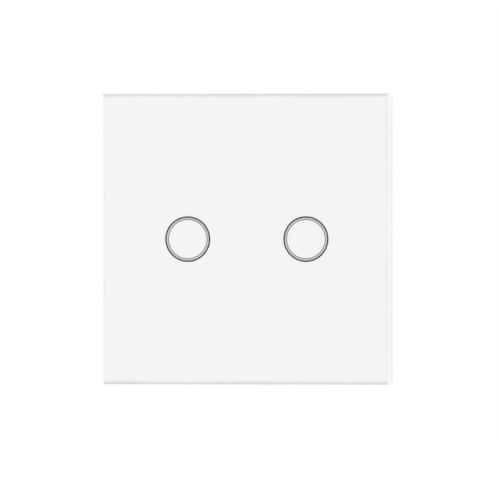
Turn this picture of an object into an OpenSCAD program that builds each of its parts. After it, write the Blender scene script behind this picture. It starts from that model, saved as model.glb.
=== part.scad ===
// Two-gang touch light switch with a glass front panel, for a round flush box with 60 mm screw centres.
// Every piece is drawn face up: x across, y up the wall, z out of the wall towards the room, wall at z = 0.
// on_wall() then stands it up, so that the glass faces -Y and +Z points up the wall.

/* [Glass panel] */
// Side of the square glass
panel_side = 80; // [74:0.5:90]
// Thickness of the glass
glass_t = 4; // [3:0.25:6]
// Radius of the ground edge round the front of the glass
glass_round = 1.1; // [0.4:0.1:1.5]
// Radius of the glass corners
glass_corner = 0.3; // [0.2:0.1:3]

/* [Touch rings] */
// Outer diameter of a printed touch ring
ring_od = 12.6; // [10:0.1:14]
// Width of the dark outline of a ring
ring_line = 0.4; // [0.2:0.05:0.8]
// Width of the clear window inside the outline
ring_window = 0.35; // [0.2:0.05:0.8]
// Width of the thin grey line inside the window
ring_inner_line = 0.25; // [0.15:0.05:0.5]
// Distance between the centres of the two rings
ring_pitch = 33; // [29:0.1:36]

/* [Carrier frame] */
// Depth of the carrier frame, from the wall to the tape on its web
frame_depth = 4.9; // [4.7:0.1:7]
// How far the frame is set in from the edge of the glass
frame_inset = 0.3; // [0.1:0.05:1]
// Thickness of the rim
frame_rim = 1.8; // [1.2:0.1:2.5]
// Thickness of the web that carries the glass
frame_web = 1.2; // [0.8:0.1:1.5]
// Gap between the rim and the wall
wall_gap = 0.3; // [0.2:0.1:0.8]
// Thickness of the foam tape
tape_t = 0.3; // [0.2:0.05:0.6]
// Width of the foam tape
tape_w = 6; // [3:0.5:8]
// Diameter of the split pegs that hold the panel on
peg_d = 4; // [3:0.25:4.5]
// Width of the prying notch under the bottom edge
pry_w = 9; // [6:0.5:14]

/* [Mounting plate] */
// Thickness of the steel
plate_t = 1.2; // [0.8:0.1:1.5]
// Radius of the plate corners
plate_corner = 4; // [1:0.5:6]
// Distance between opposite box screws
slot_pitch = 60; // [59:0.1:61]
// Width of the slots for the box screws
slot_w = 4.2; // [3.6:0.1:4.8]
// Length of the slots, end to end
slot_len = 6; // [5:0.5:6.5]

/* [Touch cover] */
// Thickness of the cover
cover_wall = 1.2; // [0.8:0.1:1.4]
// How far the cover and the housing flange under it reach past the body
flange_lap = 1.7; // [1.2:0.1:2.4]

/* [Rear housing] */
// Thickness of the walls
body_wall = 1.8; // [1.2:0.1:2]
// Thickness of the flange on the mounting plate
flange_t = 1; // [0.8:0.1:1.3]
// Number of vent slots in the rear wall
vent_count = 5; // [1:1:6]

/* [Boards] */
// Thickness of both circuit boards
board_t = 1.6; // [1:0.2:2]
// Depth of the touch board's front face behind the wall
touch_board_depth = 1.4; // [1:0.1:2.4]
// Clear height left over the tallest part between the boards
part_room = 0.9; // [0.4:0.1:4]

/* [Terminals] */
// Distance between neighbouring terminals
pole_pitch = 7.62; // [7.2:0.02:8.5]
// Diameter of the wire entries
wire_d = 2.8; // [2.2:0.1:3.4]
// Thread diameter of the terminal screws
clamp_screw_d = 3; // [2.5:0.1:3.2]
// Head diameter of the terminal screws
clamp_head_d = 5.2; // [4.4:0.1:5.4]

/* [Touch springs] */
// Coil diameter at the middle of the wire
spring_d = 6.4; // [4.5:0.1:7.6]
// Diameter of the spring wire
spring_wire = 0.5; // [0.4:0.05:0.55]
// Rise of the coil in one turn
spring_pitch = 1; // [0.98:0.02:1.3]

/* [Hidden] */
$fn = 64;

// How far a cut runs past the faces that it opens
past = 1;

// Clearances, each used on both sides of the fit that it names
print_gap = 0.02; // between neighbouring printed areas
print_margin = 0.3; // bare glass left round the print
rim_gap = 0.05; // rim of the carrier frame to the print
peg_clear = 0.05; // round a peg in its hole
plate_clear = 0.2; // round the body in the plate's window
plate_gap = 0.4; // round the plate in the rim of the carrier frame
opening_clear = 1; // round the cover in the carrier frame
cover_gap = 0.7; // cover to the print
guide_gap = 0.25; // light guide to the print
guide_set = 0.4; // light guide inside the edge of its ring
guide_clear = 0.15; // round a light guide in the cover
guide_room = 0.3; // light guide to the wall of the body
spring_gap = 0.1; // touch spring to the print
board_clear = 0.4; // round a board in the housing
well_clear = 0.6; // round a frame screw's head
screw_clear = 0.15; // round a screw in its hole
thread_clear = 0.05; // round a screw in its thread
socket_gap = 0.5; // pin header to its socket
pin_clear = 0.13; // round a pin in its socket
bay_clear = 0.15; // round the terminal block in its bay
cage_clear = 0.3; // round a clamp cage in its chamber
ledge_clear = 0.2; // tightened cage to the ledge under the screw head
bar_clear = 0.1; // open cage to its contact bar
wire_clear = 0.2; // a wire in the open clamp

// Parts on the power board
relay_size = [10.2, 18.4, 10.6];
relay_base = [0.4, 1.6];
bulk_cap_d = 8;
bulk_cap_h = 10.2;
choke_d = 7.6;
choke_h = 9;
film_cap_size = [13, 5, 10];
rectifier_size = [6.4, 8.4, 2.6];
fuse_size = [4, 8.4, 8];
varistor_d = 7;
varistor_t = 3.6;
tallest_part = max(relay_size.z, bulk_cap_h, choke_h, film_cap_size.z, fuse_size.z, varistor_d);
board_gap = tallest_part + part_room;

// Levels along z, from the glass to the back of the housing
print_t = 0.1;
print_z = frame_depth + tape_t;
glass_z = print_z + print_t;
web_z = frame_depth - frame_web;
rim_top = print_z - rim_gap;
flange_z = plate_t;
cover_z = flange_z + flange_t;
cover_top = print_z - cover_gap;
deck_z = cover_top - cover_wall;
guide_top = print_z - guide_gap;
touch_front = -touch_board_depth;
touch_back = touch_front - board_t;
power_front = touch_back - board_gap;
power_back = power_front - board_t;

// Printed rings, from the outside in
ring_r = ring_od / 2;
window_r = ring_r - ring_line;
inner_line_r = window_r - ring_window;
pad_r = inner_line_r - ring_inner_line;

// Outline of the body: as wide as the two light guides need, with its corners cut off so that it enters
// a round box, which leaves each side as wide as the terminals
guide_r = ring_r - guide_set;
body_w = ring_pitch + 2 * (guide_r + guide_room + body_wall);
poles = [-1, 0, 1];
block_w = len(poles) * pole_pitch;
bay_w = block_w + 2 * bay_clear;
bay_land = 0.92;
body_chamfer = (body_w - bay_w) / 2 - bay_land;
cover_side = body_w + 2 * flange_lap;

// Carrier frame and the plate inside its rim
frame_side = panel_side - 2 * frame_inset;
frame_corner = 0.5;
plate_side = frame_side - 2 * frame_rim - 2 * plate_gap;
opening_side = cover_side + 2 * opening_clear;
opening_corner = 4;
rib_t = 1;
rib_len = 3.5;
ribs_per_side = 5;
peg_inset = 1.8;
peg_pitch = opening_side + 2 * peg_inset;
peg_slit = 0.9;
peg_tip = 0.4;
pry_h = 1.4;
head_relief = 9;

// Touch cover and its screws
cover_corner = 5;
cover_bevel = 0.5;
post_d = 2.6;
post_x = 8.5;
post_y = 14.5;
screw_inset = 4.7;
screw_pitch = cover_side - 2 * screw_inset;
screw_d = 2.5;
screw_head_d = 4.4;
screw_head_t = 1.1;
screw_seat_t = 1;
screw_tip = 0.1;
well_d = screw_head_d + 2 * well_clear;
column_d = well_d + 2 * cover_wall;
screw_seat_z = cover_z + screw_seat_t;
cross_w = 0.8;
cross_len = 2.6;
cross_depth = 0.7;

// Light guides
guide_wall = 1.6;
guide_flange = 0.9;
guide_flange_t = 0.8;
led_size = [2, 1.25, 0.8];
led_r = guide_r - guide_wall / 2;
led_notch = [2.8, 1.1];

// Rear housing
inner_w = body_w - 2 * body_wall;
inner_cut = body_chamfer - body_wall * (2 - sqrt(2));
body_bevel = 1;
rib_w = 3;
board_seat = 1.2;
rib_depth = board_clear + board_seat;
foot_w = 8;
vent = [14, 1.4];
vent_pitch = 3.2;
vent_y = 8.5;
bay_wall = 1.4;

// Terminal block, from its rear face towards the board
block_wall = 1.4;
block_front = 2;
block_back = 1.1;
funnel_depth = 0.6;
funnel_flare = 0.7;
head_sink = 0.2;
clamp_head_t = 1.5;
clamp_slot = [0.8, 0.8];
ledge_t = 0.8;
cage_top = 1;
cage_wall = 0.8;
cage_depth = 5.4;
bar_t = 0.8;
bar_w = 3;
wire_room = wire_d + wire_clear;
wire_left = 0.5;
clamp_travel = wire_room - wire_left;
head_space = head_sink + clamp_head_t;
cage_z = head_space + ledge_t + ledge_clear + clamp_travel;
bar_z = cage_z + cage_top + bar_clear;
wire_z = bar_z + bar_t + wire_room / 2;
cage_len = cage_top + bar_clear + bar_t + wire_room + cage_wall;
block_h = cage_z + cage_len + cage_clear;
chamber_w = pole_pitch - block_wall;
chamber_depth = cage_depth + 2 * cage_clear + 2 * bar_t;
block_depth = block_front + chamber_depth + block_back;
cage_w = chamber_w - 2 * cage_clear;
clamp_shank = bar_z - head_space - 2 * bar_clear;
rear_z = power_back - block_h - head_sink;
body_depth = -rear_z;
bay_depth = block_depth + bay_clear;
clamp_y = block_front + cage_clear + cage_depth / 2;

// Places of the parts on the power board, and the pins that join the boards
relay_at = [13.6, 3];
bulk_cap_at = [-4.1, 10.6];
choke_at = [4.1, 10.6];
film_cap_at = [0, 3.8];
rectifier_at = [-3.9, -3.6];
fuse_at = [3.6, -3.6];
varistor_at = [0, -11.5];
pin_count = 6;
pin_pitch = 2.54;
pin_w = 0.64;
pin_reach = 6;
header_inset = 4.3;
header_y = inner_w / 2 - board_clear - header_inset;
header_w = 2.5;
header_h = 2.5;
socket_floor = 2.5;
socket_h = board_gap - header_h - socket_gap;

// Parts on the touch board
chip_size = [9.9, 3.9, 1.5];
chip_legs = 8;
chip_leg = [0.4, 1.05, 0.9];
chip_leg_pitch = 1.27;
smd_size = [2, 1.25, 0.6];
smd_pitch = 2.4;
smd_rows = 4;
smd_x = 4.2;
smd_y = 11.2;

// Touch spring: one wire that leaves the board upright, winds round and ends upright at the print.
// Its line is laid out flat, as length round the coil and height, and then wrapped on the coil.
spring_r = spring_d / 2;
spring_bend = 0.6;
spring_sides = 6;
spring_rings = 8;
spring_height = print_z - spring_gap - touch_front;
spring_slope = atan(spring_pitch / (PI * spring_d));
bend_steps = 3;
bend_run = spring_bend * (1 - sin(spring_slope));
bend_rise = spring_bend * cos(spring_slope);
climb_rise = spring_height - 2 * spring_wire - 2 * bend_rise;
climb_run = climb_rise / tan(spring_slope);
climb_steps = ceil(climb_run / (PI * spring_d) * spring_rings);
spring_run = climb_run + 2 * bend_run;

// Lower end: a straight leg, then a bend into the climb; each entry is [run, height, slope]
spring_foot = concat(
    [[0, 0, 90]],
    [for (i = [0:bend_steps]) let (a = i / bend_steps * (90 - spring_slope))
        [spring_bend * (1 - cos(a)), spring_wire + spring_bend * sin(a), 90 - a]]
);
spring_climb = [for (i = [1:climb_steps - 1])
    [bend_run + climb_run * i / climb_steps,
     spring_wire + bend_rise + climb_rise * i / climb_steps, spring_slope]];
spring_head = [for (i = [len(spring_foot) - 1:-1:0])
    [spring_run - spring_foot[i][0], spring_height - spring_foot[i][1], spring_foot[i][2]]];
spring_line = concat(spring_foot, spring_climb, spring_head);

// Shapes that several pieces share

module on_wall() rotate([90, 0, 0]) children();

module sheet(z, t) translate([0, 0, z]) linear_extrude(t) children();

module at_rings() for (side = [-1, 1]) translate([side * ring_pitch / 2, 0, 0]) children();

module at_corners(pitch)
    for (x = [-1, 1], y = [-1, 1]) translate([x * pitch / 2, y * pitch / 2, 0]) children();

module quarters() for (turn = [0:90:270]) rotate(turn) children();

module rounded_square(w, r) {
    square([w, w - 2 * r], center = true);
    square([w - 2 * r, w], center = true);
    at_corners(w - 2 * r) circle(r);
}

module annulus(outer, inner) difference() {
    circle(outer);
    circle(inner);
}

module octagon(w, cut) {
    a = w / 2;
    b = a - cut;
    polygon([[a, b], [b, a], [-b, a], [-a, b], [-a, -b], [-b, -a], [b, -a], [a, -b]]);
}

module long_slot(length, w) {
    square([length - w, w], center = true);
    for (end = [-1, 1]) translate([end * (length - w) / 2, 0]) circle(w / 2);
}

// Section of a slab whose upper edges are bevelled
module slab_section(w, t, bevel, drop) {
    a = w / 2;
    polygon([[-a, 0], [a, 0], [a, t - drop], [a - bevel, t], [bevel - a, t], [-a, t - drop]]);
}

// One pair of sides of such a slab, running along y
module slab_pair(w, t, bevel, drop, length)
    rotate([90, 0, 0]) linear_extrude(length, center = true) slab_section(w, t, bevel, drop);

module bevelled_square(w, t, bevel, drop, corner) intersection() {
    slab_pair(w, t, bevel, drop, w);
    rotate(90) slab_pair(w, t, bevel, drop, w);
    linear_extrude(t) rounded_square(w, corner);
}

// The same slab with round upper edges
module soft_section(w, t, r) {
    translate([-w / 2, 0]) square([w, t - r]);
    translate([r - w / 2, 0]) square([w - 2 * r, t]);
    for (end = [-1, 1]) translate([end * (w / 2 - r), t - r]) circle(r);
}

module soft_pair(w, t, r)
    rotate([90, 0, 0]) linear_extrude(w, center = true) soft_section(w, t, r);

module soft_square(w, t, r, corner) intersection() {
    soft_pair(w, t, r);
    rotate(90) soft_pair(w, t, r);
    linear_extrude(t) rounded_square(w, corner);
}

module bevelled_octagon(w, cut, t, bevel) {
    across_cut = (2 * w - 2 * cut) / sqrt(2);
    intersection() {
        slab_pair(w, t, bevel, bevel, 2 * w);
        rotate(90) slab_pair(w, t, bevel, bevel, 2 * w);
        rotate(45) slab_pair(across_cut, t, bevel, bevel, 2 * w);
        rotate(135) slab_pair(across_cut, t, bevel, bevel, 2 * w);
    }
}

// Box that stands on z = 0 with its foot centred at a point
module block_at(place, size) translate([place.x - size.x / 2, place.y - size.y / 2, 0]) cube(size);

// Glass, its print and the foam tape

module glass_panel() color("#eef3f1", 0.4) on_wall() translate([0, 0, glass_z])
    soft_square(panel_side, glass_t, glass_round, glass_corner);

module back_print() color("#f4f4f4") on_wall() sheet(print_z, print_t) {
    difference() {
        rounded_square(panel_side - 2 * print_margin, glass_corner);
        at_rings() circle(ring_r);
    }
    at_rings() circle(pad_r - print_gap);
}

module printed_rings(outer, inner) on_wall() sheet(print_z, print_t)
    at_rings() annulus(outer - print_gap, inner);

module ring_outlines() color("#3c3c3c") printed_rings(ring_r, window_r);

module ring_windows() color("#d2d2cf") printed_rings(window_r, inner_line_r);

module ring_inner_lines() color("#8f8f8f") printed_rings(inner_line_r, pad_r);

module head_reliefs() quarters() translate([slot_pitch / 2, 0]) square(head_relief, center = true);

module panel_tape() color("#dcdcd8") on_wall() sheet(frame_depth, tape_t) difference() {
    rounded_square(opening_side + 2 * tape_w, opening_corner);
    rounded_square(opening_side, opening_corner);
    head_reliefs();
}

// Carrier frame: a rim round a web that the glass is taped to, with split pegs behind

module split_peg() difference() {
    union() {
        sheet(peg_tip, web_z - peg_tip) circle(peg_d / 2);
        cylinder(peg_tip, peg_d / 2 - peg_tip, peg_d / 2);
    }
    translate([-peg_d, -peg_slit / 2, -peg_tip]) cube([2 * peg_d, peg_slit, web_z]);
}

module rim_ribs() {
    rim_inside = frame_side / 2 - frame_rim;
    span = frame_side - 2 * frame_rim;
    quarters() for (i = [1:ribs_per_side])
        translate([rim_inside - rib_len, span * (i / (ribs_per_side + 1) - 0.5) - rib_t / 2, 0])
            rotate([90, 0, 0]) translate([0, 0, -rib_t]) linear_extrude(rib_t)
                polygon([[0, web_z], [rib_len, web_z], [rib_len, plate_t]]);
}

module carrier_frame() color("#f0f0ee") on_wall() difference() {
    union() {
        sheet(wall_gap, rim_top - wall_gap) difference() {
            rounded_square(frame_side, frame_corner);
            square(frame_side - 2 * frame_rim, center = true);
        }
        sheet(web_z, frame_web) difference() {
            square(frame_side - frame_rim, center = true);
            rounded_square(opening_side, opening_corner);
        }
        rim_ribs();
        at_corners(peg_pitch) split_peg();
    }
    sheet(web_z - past, frame_web + 2 * past) head_reliefs();
    translate([-pry_w / 2, -frame_side / 2 - past, 0])
        cube([pry_w, frame_rim + 2 * past, wall_gap + pry_h]);
}

// Steel mounting plate with slots for two pairs of box screws

module mounting_plate() color("#b9bcc0") on_wall() sheet(0, plate_t) difference() {
    rounded_square(plate_side, plate_corner);
    octagon(body_w + 2 * plate_clear, body_chamfer);
    quarters() translate([slot_pitch / 2, 0]) long_slot(slot_len, slot_w);
    at_corners(peg_pitch) circle(peg_d / 2 + peg_clear);
    at_corners(screw_pitch) circle(screw_d / 2 + thread_clear);
}

// Touch cover: a cap over the touch board, with a hole for each light guide

module touch_cover() color("#f2f2f0") on_wall() difference() {
    union() {
        difference() {
            translate([0, 0, cover_z])
                bevelled_square(cover_side, cover_top - cover_z, cover_bevel, cover_bevel, cover_corner);
            sheet(cover_z - past, deck_z - cover_z + past) difference() {
                rounded_square(cover_side - 2 * cover_wall, cover_corner - cover_wall);
                at_corners(screw_pitch) circle(column_d / 2);
                at_corners(cover_side) square(cover_side - screw_pitch, center = true);
            }
        }
        for (x = [-1, 1], y = [-1, 1]) translate([x * post_x, y * post_y, touch_front])
            cylinder(deck_z - touch_front, d = post_d);
    }
    at_rings() translate([0, 0, cover_z]) cylinder(cover_top, r = guide_r + guide_clear);
    at_corners(screw_pitch) {
        translate([0, 0, cover_z - past]) cylinder(cover_top, d = screw_d + 2 * screw_clear);
        translate([0, 0, screw_seat_z]) cylinder(cover_top, d = well_d);
    }
}

module frame_screws() color("#c8c8c8") on_wall() at_corners(screw_pitch) difference() {
    union() {
        translate([0, 0, screw_seat_z]) cylinder(screw_head_t, d = screw_head_d);
        translate([0, 0, screw_tip]) cylinder(screw_seat_z - screw_tip, d = screw_d);
    }
    translate([0, 0, screw_seat_z + screw_head_t]) for (turn = [0, 90])
        rotate(turn) cube([cross_len, cross_w, 2 * cross_depth], center = true);
}

// Light guide: a clear tube from the board to the ring, notched over its two lamps

module light_guide(side) color("#f8f8f4", 0.7) on_wall() translate([side * ring_pitch / 2, 0, 0])
    difference() {
        rotate_extrude() polygon([
            [guide_r - guide_wall, touch_front], [guide_r, touch_front],
            [guide_r, deck_z - guide_flange_t], [guide_r + guide_flange, deck_z - guide_flange_t],
            [guide_r + guide_flange, deck_z], [guide_r, deck_z],
            [guide_r, guide_top], [guide_r - guide_wall, guide_top]
        ]);
        for (end = [-1, 1]) translate([-led_notch.x / 2, end * led_r - guide_wall, touch_front - past])
            cube([led_notch.x, 2 * guide_wall, led_notch.y + past]);
    }

// Touch spring: a wire of few sides, swept along its line wrapped on the coil

function on_coil(p) =
    let (a = p[0] / spring_r * 180 / PI) [spring_r * cos(a), spring_r * sin(a), p[1]];

function wire_ring(p) =
    let (a = p[0] / spring_r * 180 / PI, across = [cos(a), sin(a), 0],
         along = [-sin(p[2]) * sin(a), sin(p[2]) * cos(a), -cos(p[2])])
    [for (k = [0:spring_sides - 1]) let (turn = 360 * k / spring_sides)
        on_coil(p) + spring_wire / 2 * (cos(turn) * across + sin(turn) * along)];

// Least gap between turns, measured between points of the line at least half a turn apart
spring_free = min([for (p = spring_line, q = spring_line)
    if (q[0] - p[0] > spring_r * PI) norm(on_coil(p) - on_coil(q))]) - spring_wire;
echo(touch_spring_least_gap = spring_free, touch_spring_turns = spring_run / (PI * spring_d));

module touch_spring(side) color("#c98f52") on_wall() translate([side * ring_pitch / 2, 0, touch_front]) {
    n = spring_sides;
    last = len(spring_line) - 1;
    polyhedron(
        points = [for (p = spring_line) each wire_ring(p)],
        faces = concat(
            [for (i = [0:last - 1], k = [0:n - 1])
                each [[i * n + k, i * n + (k + 1) % n, (i + 1) * n + k],
                      [i * n + (k + 1) % n, (i + 1) * n + (k + 1) % n, (i + 1) * n + k]]],
            [for (k = [1:n - 2]) [0, k + 1, k]],
            [for (k = [1:n - 2]) [last * n, last * n + k, last * n + k + 1]]
        )
    );
}

// Circuit boards: octagons that fit the housing, the power board notched round the ribs

module board_outline() octagon(inner_w - 2 * board_clear, inner_cut);

module rib_places() for (turn = [0:90:270]) rotate(turn) translate([inner_w / 2, 0, 0]) children();

module touch_board() color("#2f6b45") on_wall() sheet(touch_back, board_t) board_outline();

module power_board() color("#2f6b45") on_wall() sheet(power_back, board_t) difference() {
    board_outline();
    rib_places() square([2 * (rib_depth + board_clear), rib_w + 2 * board_clear], center = true);
}

module indicator_leds() color("#f3efc8") on_wall() translate([0, 0, touch_front])
    at_rings() for (end = [-1, 1]) block_at([0, end * led_r], led_size);

module touch_chip() color("#2b2b2d") on_wall() translate([0, 0, touch_front]) {
    row = (chip_legs - 1) * chip_leg_pitch / 2;
    block_at([0, 0], chip_size);
    for (i = [0:chip_legs - 1], side = [-1, 1])
        block_at([i * chip_leg_pitch - row, side * (chip_size.y + chip_leg.y) / 2], chip_leg);
}

module chip_passives() color("#b8a27c") on_wall() translate([0, 0, touch_front])
    for (side = [-1, 1], end = [-1, 1], i = [0:smd_rows - 1])
        block_at([side * smd_x, end * (smd_y + (i - (smd_rows - 1) / 2) * smd_pitch)], smd_size);

// Pins and socket that join the boards

module pin_places() for (i = [0:pin_count - 1])
    translate([(i - (pin_count - 1) / 2) * pin_pitch, header_y, 0]) children();

module pin_header() color("#26262a") on_wall() {
    translate([0, 0, touch_back - header_h])
        block_at([0, header_y], [pin_count * pin_pitch, header_w, header_h]);
    pin_places() translate([0, 0, touch_back - header_h - pin_reach])
        block_at([0, 0], [pin_w, pin_w, pin_reach]);
}

module pin_socket() color("#26262a") on_wall() translate([0, 0, power_front]) difference() {
    block_at([0, header_y], [pin_count * pin_pitch, header_w, socket_h]);
    hole_w = pin_w + 2 * pin_clear;
    pin_places() translate([0, 0, socket_floor]) block_at([0, 0], [hole_w, hole_w, socket_h]);
}

// Parts on the power board

module on_power_board() on_wall() translate([0, 0, power_front]) children();

module relay(side) color("#34373b") on_power_board() translate([side * relay_at.x, relay_at.y, 0]) {
    lid = [relay_size.x - relay_base.x, relay_size.y - relay_base.x];
    block_at([0, 0], [relay_size.x, relay_size.y, relay_base.y]);
    block_at([0, 0], [lid.x, lid.y, relay_size.z]);
}

module smoothing_capacitor() color("#30343c") on_power_board()
    translate([bulk_cap_at.x, bulk_cap_at.y, 0]) {
        groove_z = 1.6;
        groove = 0.3;
        r = bulk_cap_d / 2;
        rotate_extrude() polygon([
            [0, 0], [r, 0], [r, groove_z - groove], [r - groove, groove_z], [r, groove_z + groove],
            [r, bulk_cap_h - groove], [r - groove, bulk_cap_h], [0, bulk_cap_h]
        ]);
    }

module choke() color("#2c2c2c") on_power_board() translate([choke_at.x, choke_at.y, 0]) {
    cheek = 1.2;
    waist = 0.6;
    r = choke_d / 2;
    rotate_extrude() polygon([
        [0, 0], [r, 0], [r, cheek], [r - waist, cheek], [r - waist, choke_h - cheek],
        [r, choke_h - cheek], [r, choke_h], [0, choke_h]
    ]);
}

module film_capacitor() color("#b8b23c") on_power_board() block_at(film_cap_at, film_cap_size);

module bridge_rectifier() color("#28282a") on_power_board() block_at(rectifier_at, rectifier_size);

module fuse() color("#6b4a35") on_power_board() block_at(fuse_at, fuse_size);

module varistor() color("#2d5f9a") on_power_board()
    translate([varistor_at.x, varistor_at.y + varistor_t / 2, varistor_d / 2])
        rotate([90, 0, 0]) cylinder(varistor_t, d = varistor_d);

// Rear housing: an octagonal box with a flange in front and a bay for the terminal block

module bay(w, depth, h)
    translate([-w / 2, -body_w / 2 - past, rear_z - past]) cube([w, depth + past, h + past]);

module housing_ribs() {
    floor_z = rear_z + body_wall;
    for (turn = [0, 90, 180]) rotate(turn) translate([inner_w / 2 - rib_depth, 0, 0]) {
        translate([0, -rib_w / 2, floor_z - past])
            cube([rib_depth + past, rib_w, touch_back - floor_z + past]);
        translate([0, -foot_w / 2, floor_z - past])
            cube([rib_depth + past, foot_w, power_back - floor_z + past]);
    }
    translate([-rib_w / 2, -inner_w / 2 - past, power_back])
        cube([rib_w, rib_depth + past, touch_back - power_back]);
}

module vents() for (i = [0:vent_count - 1])
    translate([0, vent_y + (i - (vent_count - 1) / 2) * vent_pitch, rear_z - past])
        linear_extrude(body_wall + 2 * past) long_slot(vent.x, vent.y);

module rear_housing() color("#e4e5e3") on_wall() difference() {
    union() {
        difference() {
            translate([0, 0, flange_z]) mirror([0, 0, 1])
                bevelled_octagon(body_w, body_chamfer, flange_z - rear_z, body_bevel);
            difference() {
                translate([0, 0, rear_z + body_wall])
                    linear_extrude(body_depth + flange_z + flange_t) octagon(inner_w, inner_cut);
                bay(bay_w + 2 * bay_wall, bay_depth + bay_wall, power_back - rear_z);
                housing_ribs();
            }
        }
        sheet(flange_z, flange_t) difference() {
            rounded_square(cover_side, cover_corner);
            octagon(inner_w, inner_cut);
        }
    }
    bay(bay_w, bay_depth, power_back - rear_z);
    vents();
    at_corners(screw_pitch) cylinder(cover_z + past, d = screw_d + 2 * screw_clear);
}

// Terminals: a rising cage in each chamber of the block, drawn up its screw against a fixed contact bar.
// They are drawn from the rear face of the block: z into the switch, y up from the lower edge.

module in_block() on_wall() translate([0, -body_w / 2, power_back - block_h]) children();

module at_pole(pole) translate([pole * pole_pitch, 0, 0]) children();

module terminal_block() color("#7d8287") in_block() difference() {
    translate([-block_w / 2, 0, 0]) cube([block_w, block_depth, block_h]);
    for (pole = poles) at_pole(pole) {
        translate([-chamber_w / 2, block_front, head_space + ledge_t])
            cube([chamber_w, chamber_depth, block_h]);
        translate([0, clamp_y, -past]) cylinder(block_h, d = clamp_screw_d + 2 * screw_clear);
        translate([0, clamp_y, -past]) cylinder(head_space + past, d = clamp_head_d + 2 * screw_clear);
        translate([0, block_front + past, wire_z]) rotate([90, 0, 0])
            cylinder(block_front + 2 * past, d = wire_d);
        translate([0, funnel_depth, wire_z]) rotate([90, 0, 0])
            cylinder(funnel_depth, d1 = wire_d, d2 = wire_d + 2 * funnel_flare);
    }
}

module contact_bars() color("#c9ccce") in_block() for (pole = poles) at_pole(pole) {
    leg_y = block_front + 2 * cage_clear + cage_depth + bar_t;
    translate([-bar_w / 2, block_front + cage_clear, bar_z])
        cube([bar_w, leg_y - block_front - cage_clear, bar_t]);
    translate([-bar_w / 2, leg_y - bar_t, bar_z]) cube([bar_w, bar_t, block_h - bar_z]);
}

module clamp_cage(pole) color("#c8a24a") in_block() at_pole(pole) difference() {
    window = cage_len - cage_top - cage_wall;
    translate([-cage_w / 2, clamp_y - cage_depth / 2, cage_z]) cube([cage_w, cage_depth, cage_len]);
    translate([-cage_w / 2 + cage_wall, clamp_y - cage_depth, cage_z + cage_top])
        cube([cage_w - 2 * cage_wall, 2 * cage_depth, window]);
    translate([0, clamp_y, cage_z - past])
        cylinder(cage_top + 2 * past, d = clamp_screw_d + 2 * thread_clear);
}

module clamp_screw(pole) color("#d0d2d4") in_block() at_pole(pole) translate([0, clamp_y, head_sink])
    difference() {
        union() {
            cylinder(clamp_head_t, d = clamp_head_d);
            cylinder(clamp_head_t + clamp_shank, d = clamp_screw_d);
        }
        cube([2 * clamp_head_d, clamp_slot.x, 2 * clamp_slot.y], center = true);
    }

glass_panel();
back_print();
ring_outlines();
ring_windows();
ring_inner_lines();
panel_tape();
carrier_frame();
mounting_plate();
touch_cover();
frame_screws();
light_guide(-1);  // light_guide_left
light_guide(1);  // light_guide_right
touch_spring(-1);  // touch_spring_left
touch_spring(1);  // touch_spring_right
touch_board();
indicator_leds();
touch_chip();
chip_passives();
pin_header();
pin_socket();
power_board();
relay(-1);  // relay_left
relay(1);  // relay_right
smoothing_capacitor();
choke();
film_capacitor();
bridge_rectifier();
fuse();
varistor();
rear_housing();
terminal_block();
contact_bars();
clamp_cage(-1);  // clamp_cage_live
clamp_cage(0);  // clamp_cage_load_1
clamp_cage(1);  // clamp_cage_load_2
clamp_screw(-1);  // clamp_screw_live
clamp_screw(0);  // clamp_screw_load_1
clamp_screw(1);  // clamp_screw_load_2
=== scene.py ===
import math

import bpy
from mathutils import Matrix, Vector


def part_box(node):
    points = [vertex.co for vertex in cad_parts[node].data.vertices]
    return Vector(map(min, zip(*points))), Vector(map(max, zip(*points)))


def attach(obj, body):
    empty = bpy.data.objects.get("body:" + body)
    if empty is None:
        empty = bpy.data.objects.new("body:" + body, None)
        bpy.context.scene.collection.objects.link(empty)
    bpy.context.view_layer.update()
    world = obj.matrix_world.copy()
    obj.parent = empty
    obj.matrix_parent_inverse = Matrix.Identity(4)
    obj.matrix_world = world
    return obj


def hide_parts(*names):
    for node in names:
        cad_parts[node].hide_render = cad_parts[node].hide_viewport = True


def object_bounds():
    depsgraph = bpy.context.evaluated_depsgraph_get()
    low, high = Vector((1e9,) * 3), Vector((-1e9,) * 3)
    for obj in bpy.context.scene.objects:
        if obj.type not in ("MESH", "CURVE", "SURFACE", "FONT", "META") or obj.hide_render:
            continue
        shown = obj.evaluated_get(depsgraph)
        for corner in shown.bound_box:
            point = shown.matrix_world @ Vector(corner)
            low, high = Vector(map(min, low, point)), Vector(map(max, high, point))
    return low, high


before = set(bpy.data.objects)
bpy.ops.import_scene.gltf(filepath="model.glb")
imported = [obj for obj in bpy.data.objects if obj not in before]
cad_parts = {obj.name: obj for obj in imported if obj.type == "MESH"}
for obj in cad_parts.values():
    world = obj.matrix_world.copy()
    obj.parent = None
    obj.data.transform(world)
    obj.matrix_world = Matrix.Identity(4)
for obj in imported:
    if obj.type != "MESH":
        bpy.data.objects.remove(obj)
cad_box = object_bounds()
bpy.ops.object.select_all(action="DESELECT")

# Rear housing: the box that goes into the wall, moulded in light grey flame-proof plastic.
# Its outside has the fine grain of a spark-eroded mould, and every moulded edge is slightly round.
housing_grey = (0.72, 0.73, 0.725)
housing_edge = 0.00012
weld_distance = 1e-6
flat_angle = math.radians(0.5)
edge_angle = math.radians(35)
# Nearly all of a noise lies between these two values
noise_low = 0.3
noise_high = 0.7


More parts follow.
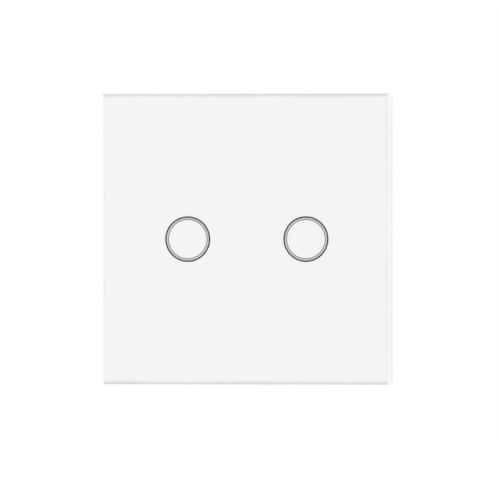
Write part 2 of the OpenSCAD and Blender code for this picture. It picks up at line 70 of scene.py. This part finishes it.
def moulded_plastic(name, colour, smooth, rough, grain_depth):
    material = bpy.data.materials.new(name)
    material.use_nodes = True
    nodes = material.node_tree.nodes
    link = material.node_tree.links.new
    body = nodes["Principled BSDF"]
    body.inputs["IOR"].default_value = 1.5
    place = nodes.new("ShaderNodeTexCoord")
    # Faint clouds where the melt flowed
    clouds = nodes.new("ShaderNodeTexNoise")
    clouds.inputs["Scale"].default_value = 70
    clouds.inputs["Detail"].default_value = 3
    tint = nodes.new("ShaderNodeValToRGB")
    tint.color_ramp.elements[0].position = noise_low
    tint.color_ramp.elements[1].position = noise_high
    tint.color_ramp.elements[0].color = (*[0.965 * c for c in colour], 1)
    tint.color_ramp.elements[1].color = (*[min(1.015 * c, 0.97) for c in colour], 1)
    link(place.outputs["Object"], clouds.inputs["Vector"])
    link(clouds.outputs["Fac"], tint.inputs["Fac"])
    link(tint.outputs["Color"], body.inputs["Base Color"])
    # Grain of the mould, a few to the millimetre
    grain = nodes.new("ShaderNodeTexNoise")
    grain.name = "grain"
    grain.inputs["Scale"].default_value = 3600
    grain.inputs["Detail"].default_value = 2
    gloss = nodes.new("ShaderNodeMapRange")
    gloss.inputs["From Min"].default_value = noise_low
    gloss.inputs["From Max"].default_value = noise_high
    gloss.inputs["To Min"].default_value = smooth
    gloss.inputs["To Max"].default_value = rough
    relief = nodes.new("ShaderNodeBump")
    relief.inputs["Strength"].default_value = 0.35
    relief.inputs["Distance"].default_value = grain_depth
    link(place.outputs["Object"], grain.inputs["Vector"])
    link(grain.outputs["Fac"], gloss.inputs["Value"])
    link(gloss.outputs["Result"], body.inputs["Roughness"])
    link(grain.outputs["Fac"], relief.inputs["Height"])
    link(relief.outputs["Normal"], body.inputs["Normal"])
    return material


def dress(node, material):
    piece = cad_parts[node]
    piece.data.materials.clear()
    piece.data.materials.append(material)
    return piece


def soften(piece, radius):
    join = piece.modifiers.new("join faces", "WELD")
    join.merge_threshold = weld_distance
    flats = piece.modifiers.new("clear flats", "DECIMATE")
    flats.decimate_type = "DISSOLVE"
    flats.angle_limit = flat_angle
    rounds = piece.modifiers.new("round edges", "BEVEL")
    rounds.width = radius
    rounds.segments = 2
    rounds.limit_method = "ANGLE"
    rounds.angle_limit = edge_angle
    rounds.use_clamp_overlap = False
    rounds.loop_slide = False
    shading = piece.modifiers.new("even shading", "WEIGHTED_NORMAL")
    shading.weight = 100
    return rounds


housing_plastic = moulded_plastic("light grey housing plastic", housing_grey, 0.42, 0.56, 0.00003)
soften(dress("rear_housing", housing_plastic), housing_edge)

# Terminal block: dark grey plastic pushed into the bay of the housing before the boards go in.
# Each of its chambers holds a bar of tinned copper that is soldered to the power board.
terminal_grey = (0.16, 0.175, 0.19)
terminal_edge = 0.00012
tin_colour = (0.78, 0.78, 0.77)


def bare_metal(name, colour, smooth, rough, stretch):
    material = bpy.data.materials.new(name)
    material.use_nodes = True
    nodes = material.node_tree.nodes
    link = material.node_tree.links.new
    body = nodes["Principled BSDF"]
    body.inputs["Metallic"].default_value = 1
    place = nodes.new("ShaderNodeTexCoord")
    # Marks of rolling or drawing, long in one direction
    lie = nodes.new("ShaderNodeMapping")
    lie.inputs["Scale"].default_value = stretch
    marks = nodes.new("ShaderNodeTexNoise")
    marks.inputs["Scale"].default_value = 1
    marks.inputs["Detail"].default_value = 4
    tint = nodes.new("ShaderNodeValToRGB")
    tint.color_ramp.elements[0].position = noise_low
    tint.color_ramp.elements[1].position = noise_high
    tint.color_ramp.elements[0].color = (*[0.9 * c for c in colour], 1)
    tint.color_ramp.elements[1].color = (*[min(1.05 * c, 1) for c in colour], 1)
    gloss = nodes.new("ShaderNodeMapRange")
    gloss.inputs["From Min"].default_value = noise_low
    gloss.inputs["From Max"].default_value = noise_high
    gloss.inputs["To Min"].default_value = smooth
    gloss.inputs["To Max"].default_value = rough
    relief = nodes.new("ShaderNodeBump")
    relief.inputs["Strength"].default_value = 0.1
    relief.inputs["Distance"].default_value = 0.00002
    link(place.outputs["Object"], lie.inputs["Vector"])
    link(lie.outputs["Vector"], marks.inputs["Vector"])
    link(marks.outputs["Fac"], tint.inputs["Fac"])
    link(tint.outputs["Color"], body.inputs["Base Color"])
    link(marks.outputs["Fac"], gloss.inputs["Value"])
    link(gloss.outputs["Result"], body.inputs["Roughness"])
    link(marks.outputs["Fac"], relief.inputs["Height"])
    link(relief.outputs["Normal"], body.inputs["Normal"])
    return material


terminal_plastic = moulded_plastic("dark grey terminal plastic", terminal_grey, 0.36, 0.5, 0.00002)
tinned_copper = bare_metal("tinned copper bar", tin_colour, 0.25, 0.4, (600, 2500, 2500))
soften(dress("terminal_block", terminal_plastic), terminal_edge)
soften(dress("contact_bars", tinned_copper), terminal_edge)

# Clamps: a brass cage rises on the thread of its screw and presses the wire against the bar.
# The cages are extruded brass cut to length, and the screws are turned steel with a zinc plating.
brass_colour = (0.78, 0.60, 0.28)
zinc_colour = (0.72, 0.73, 0.75)
clamp_edge = 0.00008
poles = ("live", "load_1", "load_2")
cage_brass = bare_metal("plain brass", brass_colour, 0.22, 0.38, (2500, 400, 2500))
screw_zinc = bare_metal("zinc-plated screw steel", zinc_colour, 0.18, 0.34, (2200, 2200, 2200))
for pole in poles:
    soften(dress("clamp_cage_" + pole, cage_brass), clamp_edge)
    soften(dress("clamp_screw_" + pole, screw_zinc), clamp_edge)

# Boards: glass-fibre boards with green solder lacquer, through which the copper tracks show.
# The power board stands on feet in the housing, and the touch board rests on the ribs in front of it.
lacquer_green = (0.030, 0.125, 0.062)
track_green = (0.060, 0.205, 0.098)
track_pitch = 0.0009
track_share = 0.42
field_size = 0.0075
upright_share = 0.5
copper_share = 0.2


def reckon(tree, operation, first, second):
    step = tree.nodes.new("ShaderNodeMath")
    step.operation = operation
    tree.links.new(first, step.inputs[0])
    if isinstance(second, (int, float)):
        step.inputs[1].default_value = second
    else:
        tree.links.new(second, step.inputs[1])
    return step.outputs["Value"]


def lacquered_board(name):
    material = bpy.data.materials.new(name)
    material.use_nodes = True
    tree = material.node_tree
    nodes = tree.nodes
    link = tree.links.new
    body = nodes["Principled BSDF"]
    body.inputs["IOR"].default_value = 1.52
    body.inputs["Coat Weight"].default_value = 0.4
    place = nodes.new("ShaderNodeTexCoord")
    spread = nodes.new("ShaderNodeSeparateXYZ")
    link(place.outputs["Object"], spread.inputs["Vector"])
    # Each field of the board has level tracks, upright tracks or copper all over
    fields = nodes.new("ShaderNodeTexVoronoi")
    fields.distance = "CHEBYCHEV"
    fields.inputs["Scale"].default_value = 1 / field_size
    draw = nodes.new("ShaderNodeSeparateColor")
    link(place.outputs["Object"], fields.inputs["Vector"])
    link(fields.outputs["Color"], draw.inputs["Color"])
    ways = []
    for axis in ("Z", "X"):
        pitches = reckon(tree, "MULTIPLY", spread.outputs[axis], 1 / track_pitch)
        along = reckon(tree, "FRACT", pitches, 0)
        ways.append(reckon(tree, "LESS_THAN", along, track_share))
    way = nodes.new("ShaderNodeMix")
    link(reckon(tree, "GREATER_THAN", draw.outputs["Red"], 1 - upright_share), way.inputs["Factor"])
    link(ways[0], way.inputs["A"])
    link(ways[1], way.inputs["B"])
    full = reckon(tree, "LESS_THAN", draw.outputs["Green"], copper_share)
    tracks = reckon(tree, "MAXIMUM", way.outputs["Result"], full)
    tint = nodes.new("ShaderNodeValToRGB")
    tint.color_ramp.elements[0].color = (*lacquer_green, 1)
    tint.color_ramp.elements[1].color = (*track_green, 1)
    gloss = nodes.new("ShaderNodeMapRange")
    gloss.inputs["To Min"].default_value = 0.42
    gloss.inputs["To Max"].default_value = 0.3
    relief = nodes.new("ShaderNodeBump")
    relief.inputs["Strength"].default_value = 0.4
    relief.inputs["Distance"].default_value = 0.00004
    link(tracks, tint.inputs["Fac"])
    link(tint.outputs["Color"], body.inputs["Base Color"])
    link(tracks, gloss.inputs["Value"])
    link(gloss.outputs["Result"], body.inputs["Roughness"])
    link(tracks, relief.inputs["Height"])
    link(relief.outputs["Normal"], body.inputs["Normal"])
    return material


board_lacquer = lacquered_board("green board lacquer")
for board in ("power_board", "touch_board"):
    dress(board, board_lacquer)

# Parts on the power board: two relays, one for each lamp, and the small power supply beside them.
# They are soldered through the board, in cases of plain moulded plastic, film, ceramic or a sleeve.
part_edge = 0.00015
part_colours = {
    "relay_left": (0.045, 0.048, 0.055),
    "relay_right": (0.045, 0.048, 0.055),
    "smoothing_capacitor": (0.030, 0.036, 0.055),
    "choke": (0.040, 0.040, 0.042),
    "film_capacitor": (0.58, 0.50, 0.09),
    "bridge_rectifier": (0.032, 0.032, 0.034),
    "fuse": (0.16, 0.085, 0.05),
    "varistor": (0.035, 0.12, 0.33),
}
for part, colour in part_colours.items():
    case = moulded_plastic(part.replace("_", " ") + " case", colour, 0.3, 0.46, 0.00002)
    soften(dress(part, case), part_edge)

# Pin header and socket: a black strip with six square tinned pins, moulded in, that point backwards.
# They plug into the socket on the power board, and so join the two boards.
strip_black = (0.022, 0.022, 0.025)
strip_thick = 0.0025


def tin_past(material, axis, middle, half):
    # Pins, legs and end caps are tinned, past the plastic or ceramic that they stand out of
    nodes = material.node_tree.nodes
    link = material.node_tree.links.new
    body = nodes["Principled BSDF"]
    bare = body.inputs["Base Color"].links[0].from_socket
    place = next(n for n in nodes if n.type == "TEX_COORD")
    spread = nodes.new("ShaderNodeSeparateXYZ")
    link(place.outputs["Object"], spread.inputs["Vector"])
    aside = reckon(material.node_tree, "ABSOLUTE", spread.outputs[axis], 0)
    from_middle = reckon(material.node_tree, "SUBTRACT", aside, middle)
    distance = reckon(material.node_tree, "ABSOLUTE", from_middle, 0)
    finish = nodes.new("ShaderNodeMix")
    finish.data_type = "RGBA"
    finish.inputs["B"].default_value = (*tin_colour, 1)
    link(reckon(material.node_tree, "GREATER_THAN", distance, half), finish.inputs["Factor"])
    link(bare, finish.inputs["A"])
    link(finish.outputs["Result"], body.inputs["Base Color"])
    return material


socket_plastic = moulded_plastic("black socket plastic", strip_black, 0.38, 0.52, 0.00002)
header_plastic = moulded_plastic("black strip with tinned pins", strip_black, 0.38, 0.52, 0.00002)
strip_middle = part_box("pin_header")[0].y + strip_thick / 2
dress("pin_socket", socket_plastic)
dress("pin_header", tin_past(header_plastic, "Y", strip_middle, strip_thick / 2))

# Touch board parts: the touch chip, its rows of small ceramic chips and two lamps under each ring.
# They are soldered flat on the front of the board, where the springs and light guides stand too.
chip_black = (0.025, 0.025, 0.027)
chip_half = 0.00195
ceramic_tan = (0.50, 0.38, 0.23)
ceramic_row = 0.0042
ceramic_half = 0.00065
lamp_cream = (0.88, 0.83, 0.62)
chip_package = moulded_plastic("chip package with tinned legs", chip_black, 0.4, 0.55, 0.00001)
ceramic = moulded_plastic("ceramic chips with tinned ends", ceramic_tan, 0.4, 0.55, 0.00001)
dress("touch_chip", tin_past(chip_package, "Z", 0, chip_half))
dress("chip_passives", tin_past(ceramic, "X", ceramic_row, ceramic_half))
dress("indicator_leds", moulded_plastic("lamp bodies", lamp_cream, 0.2, 0.3, 0.00001))

# Mounting plate: stamped sheet steel with a zinc plating, screwed to the wall box through its slots.
# Rolling left faint level streaks, and the plating dried in pale spangles over them.
plate_colour = (0.60, 0.61, 0.63)
plate_edge = 0.00012


def plated_sheet(name, colour):
    material = bare_metal(name, colour, 0.26, 0.42, (90, 3000, 2600))
    nodes = material.node_tree.nodes
    link = material.node_tree.links.new
    body = nodes["Principled BSDF"]
    streaks = body.inputs["Base Color"].links[0].from_socket
    place = next(n for n in nodes if n.type == "TEX_COORD")
    spangle = nodes.new("ShaderNodeTexVoronoi")
    spangle.inputs["Scale"].default_value = 420
    bright = nodes.new("ShaderNodeMapRange")
    bright.inputs["To Min"].default_value = 0.9
    bright.inputs["To Max"].default_value = 1.08
    plating = nodes.new("ShaderNodeMix")
    plating.data_type = "RGBA"
    plating.blend_type = "MULTIPLY"
    plating.inputs["Factor"].default_value = 1
    link(place.outputs["Object"], spangle.inputs["Vector"])
    link(spangle.outputs["Color"], bright.inputs["Value"])
    link(streaks, plating.inputs["A"])
    link(bright.outputs["Result"], plating.inputs["B"])
    link(plating.outputs["Result"], body.inputs["Base Color"])
    return material


soften(dress("mounting_plate", plated_sheet("zinc-plated sheet steel", plate_colour)), plate_edge)

# Light guides: frosted clear plastic tubes that carry the light of the lamps to the ring on the glass.
# Each is notched over its two lamps and held under the cover by its flange.
guide_white = (0.88, 0.90, 0.89)
guide_edge = 0.0001
guide_plastic = moulded_plastic("frosted clear plastic", guide_white, 0.3, 0.42, 0.00002)
guide_body = guide_plastic.node_tree.nodes["Principled BSDF"]
guide_body.inputs["Transmission Weight"].default_value = 0.35
guide_body.inputs["IOR"].default_value = 1.49
for side in ("left", "right"):
    soften(dress("light_guide_" + side, guide_plastic), guide_edge)

# Touch springs: bronze wire wound on a mandrel, with both ends turned up along the coil.
# The lower end is soldered to the touch board, and the upper end presses on the print behind the glass.
bronze_colour = (0.72, 0.47, 0.27)
spring_wire_r = 0.00025
spring_leg = 0.0005
spring_bend = 0.0006
coil_pitch = 0.001
points_per_turn = 24
wire_smooth_angle = math.radians(40)
spring_bronze = bare_metal("bronze spring wire", bronze_colour, 0.2, 0.34, (1500, 1500, 1500))


def spring_points(low, high):
    middle = (low + high) / 2
    coil_r = (high.x - low.x) / 2 - spring_wire_r
    tall = high.y - low.y
    climb = tall - 2 * (spring_leg + spring_bend)
    turns = climb / coil_pitch
    steps = round(turns * points_per_turn)
    heights = [(0, 0), (0, spring_leg)]
    for i in range(steps + 1):
        heights.append((2 * math.pi * turns * i / steps, spring_leg + spring_bend + climb * i / steps))
    heights.append((2 * math.pi * turns, tall - spring_leg))
    heights.append((2 * math.pi * turns, tall))
    points = []
    for turn, height in heights:
        across = middle.x + coil_r * math.cos(turn)
        up = middle.z + coil_r * math.sin(turn)
        points.append((across, high.y - height, up))
    return points


for side in ("left", "right"):
    bpy.ops.object.select_all(action="DESELECT")
    bpy.ops.curve.primitive_nurbs_path_add(radius=1, location=(0, 0, 0))
    spring = bpy.context.object
    spring.name = "touch_spring_coil_" + side
    line = spring.data.splines[0]
    points = spring_points(*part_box("touch_spring_" + side))
    line.points.add(len(points) - len(line.points))
    for point, place in zip(line.points, points):
        point.co = (*place, 1)
    line.order_u = 3
    line.use_endpoint_u = True
    line.resolution_u = 3
    spring.data.dimensions = "3D"
    spring.data.bevel_depth = spring_wire_r
    spring.data.bevel_resolution = 3
    spring.data.use_fill_caps = True
    bpy.ops.object.convert(target="MESH")
    bpy.ops.object.shade_smooth_by_angle(angle=wire_smooth_angle)
    spring.data.materials.append(spring_bronze)
    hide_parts("touch_spring_" + side)
    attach(spring, "base")

# Touch cover: a white plastic cap over the touch board, with a round hole for each light guide.
# Four small cross-head screws in its corner wells hold cover, housing and mounting plate together.
cover_white = (0.88, 0.88, 0.87)
cover_edge = 0.00012
cover_plastic = moulded_plastic("white cover plastic", cover_white, 0.38, 0.5, 0.00002)
cover_rounding = soften(dress("touch_cover", cover_plastic), cover_edge)
# Its sharp corners, where the screw wells meet the walls, are patched and not mitred
cover_rounding.miter_outer = "MITER_PATCH"
soften(dress("frame_screws", screw_zinc), clamp_edge)

# Carrier frame: the white moulded frame behind the glass, with ribs in its rim and a split peg near
# each corner that springs into the mounting plate. White foam tape holds the glass to its web.
frame_white = (0.76, 0.76, 0.755)
frame_edge = 0.00013
tape_white = (0.82, 0.82, 0.80)


def foam(name, colour):
    material = moulded_plastic(name, colour, 0.82, 0.95, 0.00006)
    grain = material.node_tree.nodes["grain"]
    grain.inputs["Scale"].default_value = 2200
    grain.inputs["Detail"].default_value = 5
    return material


frame_plastic = moulded_plastic("white frame plastic", frame_white, 0.34, 0.46, 0.00002)
soften(dress("carrier_frame", frame_plastic), frame_edge)
dress("panel_tape", foam("white foam tape", tape_white))

# Print behind the glass: white enamel over the whole back, screened in one pass and stoved.
# Two rings stand open in it, each drawn by a dark outline, a pale window and a fine grey line.
enamel_white = (0.925, 0.925, 0.925)
outline_dark = (0.002, 0.002, 0.002)
window_pale = (0.68, 0.68, 0.675)
inner_grey = (0.20, 0.20, 0.202)


def screened_enamel(name, colour):
    material = bpy.data.materials.new(name)
    material.use_nodes = True
    nodes = material.node_tree.nodes
    link = material.node_tree.links.new
    body = nodes["Principled BSDF"]
    body.inputs["Specular IOR Level"].default_value = 0.02
    place = nodes.new("ShaderNodeTexCoord")
    # The weave of the screen leaves tiny differences in the thickness of the ink
    ink = nodes.new("ShaderNodeTexNoise")
    ink.inputs["Scale"].default_value = 900
    ink.inputs["Detail"].default_value = 2
    tint = nodes.new("ShaderNodeValToRGB")
    tint.color_ramp.elements[0].position = noise_low
    tint.color_ramp.elements[1].position = noise_high
    tint.color_ramp.elements[0].color = (*[0.992 * c for c in colour], 1)
    tint.color_ramp.elements[1].color = (*colour, 1)
    gloss = nodes.new("ShaderNodeMapRange")
    gloss.inputs["To Min"].default_value = 0.4
    gloss.inputs["To Max"].default_value = 0.55
    link(place.outputs["Object"], ink.inputs["Vector"])
    link(ink.outputs["Fac"], tint.inputs["Fac"])
    link(tint.outputs["Color"], body.inputs["Base Color"])
    link(ink.outputs["Fac"], gloss.inputs["Value"])
    link(gloss.outputs["Result"], body.inputs["Roughness"])
    return material


dress("back_print", screened_enamel("white enamel print", enamel_white))
dress("ring_outlines", screened_enamel("dark outline print", outline_dark))
dress("ring_windows", screened_enamel("pale window print", window_pale))
dress("ring_inner_lines", screened_enamel("grey line print", inner_grey))

# Glass panel: a square of clear tempered glass with small rounded corners.
# Its face and back are polished, and the rounded front edge and the sides are ground to a fine satin.
glass_colour = (0.990, 0.993, 0.992)
satin_white = (0.92, 0.922, 0.921)
glass_corner = 0.0003
glass_round = 0.0011
corner_steps = 5
round_steps = 8
corner_profile = 0.5
round_profile = 0.38
print_bond = 0.00002
over = 0.002
hair = 0.000002
smooth_angle = math.radians(20)
flat_normal = 0.9999


def lets_lamps_through(material):
    # Lamps and scattered light reach the print as through air, while the camera sees the glass
    nodes = material.node_tree.nodes
    link = material.node_tree.links.new
    body = nodes["Principled BSDF"]
    path = nodes.new("ShaderNodeLightPath")
    clear = nodes.new("ShaderNodeBsdfTransparent")
    scattered = nodes.new("ShaderNodeMixShader")
    shadow = nodes.new("ShaderNodeMixShader")
    link(path.outputs["Is Diffuse Ray"], scattered.inputs["Fac"])
    link(body.outputs["BSDF"], scattered.inputs[1])
    link(clear.outputs["BSDF"], scattered.inputs[2])
    link(path.outputs["Is Shadow Ray"], shadow.inputs["Fac"])
    link(scattered.outputs["Shader"], shadow.inputs[1])
    link(clear.outputs["BSDF"], shadow.inputs[2])
    link(shadow.outputs["Shader"], nodes["Material Output"].inputs["Surface"])


polished = bpy.data.materials.new("polished clear glass")
polished.use_nodes = True
polished_body = polished.node_tree.nodes["Principled BSDF"]
polished_body.inputs["Base Color"].default_value = (*glass_colour, 1)
polished_body.inputs["Transmission Weight"].default_value = 1
polished_body.inputs["Roughness"].default_value = 0.02
polished_body.inputs["IOR"].default_value = 1.5
lets_lamps_through(polished)
satin = moulded_plastic("satin ground glass edge", satin_white, 0.5, 0.62, 0.00001)
satin.node_tree.nodes["Principled BSDF"].inputs["Specular IOR Level"].default_value = 0
lets_lamps_through(satin)

glass_low, glass_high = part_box("glass_panel")
glass_high.y += print_bond


def glass_block(grow, along, rounding, steps, profile):
    # A block that is larger than the glass by grow, with its edges along one axis rounded
    bpy.ops.object.select_all(action="DESELECT")
    bpy.ops.mesh.primitive_cube_add(size=1, location=(glass_low + glass_high) / 2)
    block = bpy.context.object
    block.scale = glass_high - glass_low + 2 * Vector(grow)
    bpy.ops.object.transform_apply(location=True, rotation=True, scale=True)
    bpy.ops.object.mode_set(mode="EDIT")
    bpy.ops.mesh.select_mode(type="EDGE")
    bpy.ops.mesh.select_all(action="DESELECT")
    bpy.ops.object.mode_set(mode="OBJECT")
    for edge in block.data.edges:
        a, b = (block.data.vertices[i].co for i in edge.vertices)
        at_back = max(a.y, b.y) > glass_low.y + glass_round
        edge.select = abs(a[along] - b[along]) > glass_round and (along == 1 or not at_back)
    bpy.ops.object.mode_set(mode="EDIT")
    bpy.ops.mesh.bevel(offset=rounding, segments=steps, profile=profile)
    bpy.ops.object.mode_set(mode="OBJECT")
    return block


# The glass is what three blocks share: one with round corners, one rounded above and below,
# and one rounded at both sides
glass = glass_block((hair, over, hair), 1, glass_corner, corner_steps, corner_profile)
glass.name = "glass_panel_ground"
level = glass_block((over, 0, 0), 0, glass_round, round_steps, round_profile)
upright = glass_block((0, hair, over), 2, glass_round, round_steps, round_profile)
for block in (level, upright):
    bpy.ops.object.select_all(action="DESELECT")
    glass.select_set(True)
    bpy.context.view_layer.objects.active = glass
    shared = glass.modifiers.new("shared", "BOOLEAN")
    shared.operation = "INTERSECT"
    shared.solver = "EXACT"
    shared.object = block
    bpy.ops.object.modifier_apply(modifier=shared.name)
    bpy.data.objects.remove(block)
bpy.ops.object.shade_smooth_by_angle(angle=smooth_angle)
true_flats = glass.modifiers.new("true flats", "WEIGHTED_NORMAL")
true_flats.weight = 100
true_flats.keep_sharp = True
bpy.ops.object.modifier_apply(modifier=true_flats.name)
glass.data.materials.clear()
glass.data.materials.append(polished)
glass.data.materials.append(satin)
for face in glass.data.polygons:
    face.material_index = 0 if abs(face.normal.y) > flat_normal else 1
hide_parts("glass_panel")
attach(glass, "panel")

# Studio: a pale floor under the lower edge of the panel and an even white room round it.
# The camera, mirrors and glass see plain white, while the object is lit at a calm level.
floor_pale = (0.93, 0.93, 0.93)
floor_reach = 3.0
floor_gap = 0.03
room_level = 0.31
seen_share = 0.6
seen_strength = 1.4


def seen_directly(tree):
    path = tree.nodes.new("ShaderNodeLightPath")
    both = reckon(tree, "MAXIMUM", path.outputs["Is Camera Ray"], path.outputs["Is Glossy Ray"])
    return reckon(tree, "MAXIMUM", both, path.outputs["Is Transmission Ray"])


bpy.ops.object.select_all(action="DESELECT")
bpy.ops.mesh.primitive_plane_add(size=floor_reach, location=(0, 0, cad_box[0].z - floor_gap))
floor = bpy.context.object
floor.name = "studio_floor"
floor_paint = bpy.data.materials.new("pale studio floor")
floor_paint.use_nodes = True
floor_tree = floor_paint.node_tree
floor_body = floor_tree.nodes["Principled BSDF"]
floor_body.inputs["Base Color"].default_value = (*floor_pale, 1)
floor_body.inputs["Roughness"].default_value = 0.9
floor_body.inputs["Specular IOR Level"].default_value = 0
floor_glow = floor_tree.nodes.new("ShaderNodeEmission")
floor_glow.inputs["Strength"].default_value = seen_strength
floor_mix = floor_tree.nodes.new("ShaderNodeMixShader")
floor_share = reckon(floor_tree, "MULTIPLY", seen_directly(floor_tree), seen_share)
floor_tree.links.new(floor_share, floor_mix.inputs["Fac"])
floor_tree.links.new(floor_body.outputs["BSDF"], floor_mix.inputs[1])
floor_tree.links.new(floor_glow.outputs["Emission"], floor_mix.inputs[2])
floor_tree.links.new(floor_mix.outputs["Shader"], floor_tree.nodes["Material Output"].inputs["Surface"])
floor.data.materials.append(floor_paint)

room = bpy.data.worlds.new("white studio")
room.use_nodes = True
room_tree = room.node_tree
room_light = room_tree.nodes["Background"]
room_light.inputs["Color"].default_value = (1, 1, 1, 1)
room_light.inputs["Strength"].default_value = room_level
room_seen = room_tree.nodes.new("ShaderNodeBackground")
room_seen.inputs["Color"].default_value = (1, 1, 1, 1)
room_seen.inputs["Strength"].default_value = 1
room_mix = room_tree.nodes.new("ShaderNodeMixShader")
room_tree.links.new(seen_directly(room_tree), room_mix.inputs["Fac"])
room_tree.links.new(room_light.outputs["Background"], room_mix.inputs[1])
room_tree.links.new(room_seen.outputs["Background"], room_mix.inputs[2])
room_tree.links.new(room_mix.outputs["Shader"], room_tree.nodes["World Output"].inputs["Surface"])
bpy.context.scene.world = room

# Lamps: a soft key in front on the left, a soft fill well round on the right, and one behind
# each shoulder so that the back of the switch is lit as evenly as its face.
lamp_size = 1.2
lamp_distance = 2.2
lamps = {
    "key_left": (-48, 6, 33.4),
    "fill_right": (69.5, 4, 35.2),
    "back_left": (-135, 15, 12),
    "back_right": (135, 25, 8),
}
for name, (turn, rise, watts) in lamps.items():
    turn, rise = math.radians(turn), math.radians(rise)
    away = Vector((math.sin(turn) * math.cos(rise), -math.cos(turn) * math.cos(rise), math.sin(rise)))
    bpy.ops.object.light_add(type="AREA", location=away * lamp_distance)
    lamp = bpy.context.object
    lamp.name = name
    lamp.data.shape = "DISK"
    lamp.data.size = lamp_size
    lamp.data.energy = watts
    lamp.rotation_euler = away.to_track_quat("Z", "Y").to_euler()

# Camera: level with the panel and a little to its right, far off with a long lens as for a catalogue.
# The lens is worked out from the size that a pixel of the picture covers on the face of the glass.
photo_pixels = 500
millimetres_per_pixel = 0.2753
camera_turn = math.radians(9.5)
camera_distance = 5.0
aim = Vector((-0.00022, 0, -0.00300))
away = Vector((math.sin(camera_turn), -math.cos(camera_turn), 0))
bpy.ops.object.camera_add(location=aim + away * camera_distance)
camera = bpy.context.object
camera.name = "catalogue_camera"
camera.rotation_euler = away.to_track_quat("Z", "Y").to_euler()
view_width = photo_pixels * millimetres_per_pixel / 1000
face_distance = camera_distance + cad_box[0].y
camera.data.lens = camera.data.sensor_width * face_distance / view_width
camera.data.clip_end = 100
bpy.context.scene.camera = camera
bpy.context.scene.view_settings.view_transform = "Standard"
